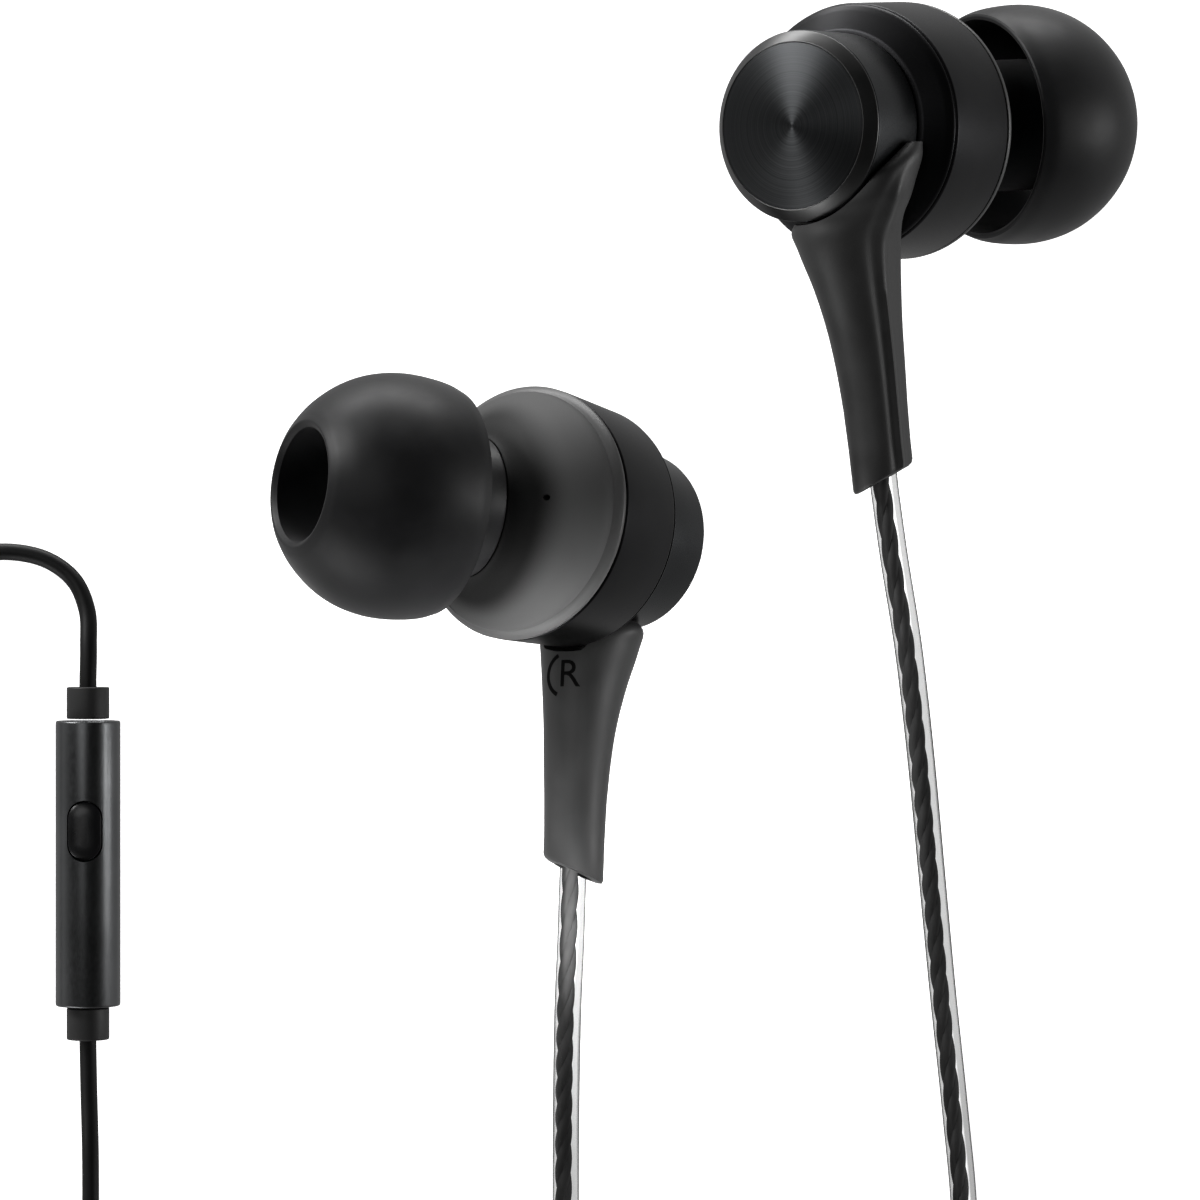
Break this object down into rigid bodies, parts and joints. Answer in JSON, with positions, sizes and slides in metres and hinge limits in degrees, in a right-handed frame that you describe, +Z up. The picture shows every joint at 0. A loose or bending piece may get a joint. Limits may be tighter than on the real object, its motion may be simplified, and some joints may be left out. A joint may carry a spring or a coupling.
{
  "type": "wired earphones",
  "caption": "In-ear headphones with angled nozzles, rubber ear tips, clear-jacketed twisted cord, in-line remote with a press button, splitter, and jack plug.",
  "frame": {"origin": "centre of the underside of the box round the earpieces, on the table", "axes": "+Z up from the table, -Y along the stems and cords, +X from the right earpiece towards the left one"},
  "size_m": [0.077, 0.0937, 0.0204],
  "materials": {
    "cap": "spun, chamfered edge",
    "housing": "satin anodised",
    "front": "satin anodised",
    "tip": "satin silicone",
    "mesh": "woven mesh",
    "driver_plastic": "moulded",
    "steel": "plain",
    "magnet": "nickel plated",
    "copper": "enamelled wire",
    "film": "thin film",
    "board": "solder mask",
    "stem": "matt moulded",
    "crimp": "plain",
    "cord": "clear jacket over a dark core",
    "black_cord": "plain black jacket",
    "tie": "woven nylon",
    "remote": "satin anodised",
    "collar": "matt moulded",
    "button": "satin",
    "splitter": "fine matt",
    "contact": "gold plated",
    "insulator": "plain"
  },
  "bodies": {
    "earphones": {"left_rear_cap": "cap", "left_rear_shell": "housing", "left_mid_housing": "housing", "left_front_housing": "front", "left_nozzle_mesh": "mesh", "left_driver_frame": "driver_plastic", "left_yoke": "steel", "left_magnet": "magnet", "left_voice_coil": "copper", "left_diaphragm": "film", "left_terminal_board": "board", "left_strain_relief": "stem", "left_cord_crimp": "crimp", "right_rear_cap": "cap", "right_rear_shell": "housing", "right_mid_housing": "housing", "right_front_housing": "front", "right_nozzle_mesh": "mesh", "right_driver_frame": "driver_plastic", "right_yoke": "steel", "right_magnet": "magnet", "right_voice_coil": "copper", "right_diaphragm": "film", "right_terminal_board": "board", "right_strain_relief": "stem", "right_cord_crimp": "crimp", "remote_shell": "remote", "remote_upper_collar": "collar", "remote_lower_collar": "collar", "remote_board": "board", "remote_switch": "steel", "remote_microphone": "steel", "splitter_shell": "splitter", "splitter_boot": "collar", "plug_relief": "collar", "plug_barrel": "housing", "plug_sleeve": "contact", "plug_ring_1": "contact", "plug_ring_2": "contact", "plug_tip": "contact", "plug_insulator": "insulator", "left_cord_lead": "cord", "left_cord_tail": "cord", "left_cord_coil": "cord", "right_cord_lead": "cord", "right_cord_tail": "cord", "right_cord_coil": "cord", "main_cord_upper": "black_cord", "main_cord_lower": "black_cord", "main_cord_coil": "black_cord", "main_cord_plug_lead": "black_cord", "left_cord_tie": "tie", "right_cord_tie": "tie", "main_cord_tie": "tie"},
    "left_tip": {"left_ear_tip": "tip"},
    "right_tip": {"right_ear_tip": "tip"},
    "button": {"remote_button": "button"}
  },
  "joints": [
    {"name": "left_tip_pull", "type": "slide", "parent": "earphones", "child": "left_tip", "axis": [0.8522, 0.0936, -0.5148], "range_m": [0, 0.006]},
    {"name": "right_tip_pull", "type": "slide", "parent": "earphones", "child": "right_tip", "axis": [-0.8597, 0.1066, 0.4996], "range_m": [0, 0.006]},
    {"name": "button_press", "type": "slide", "parent": "earphones", "child": "button", "axis": [0, 0, -1], "range_m": [0, 0.0002], "stiffness_N_per_m": 2000}
  ]
}
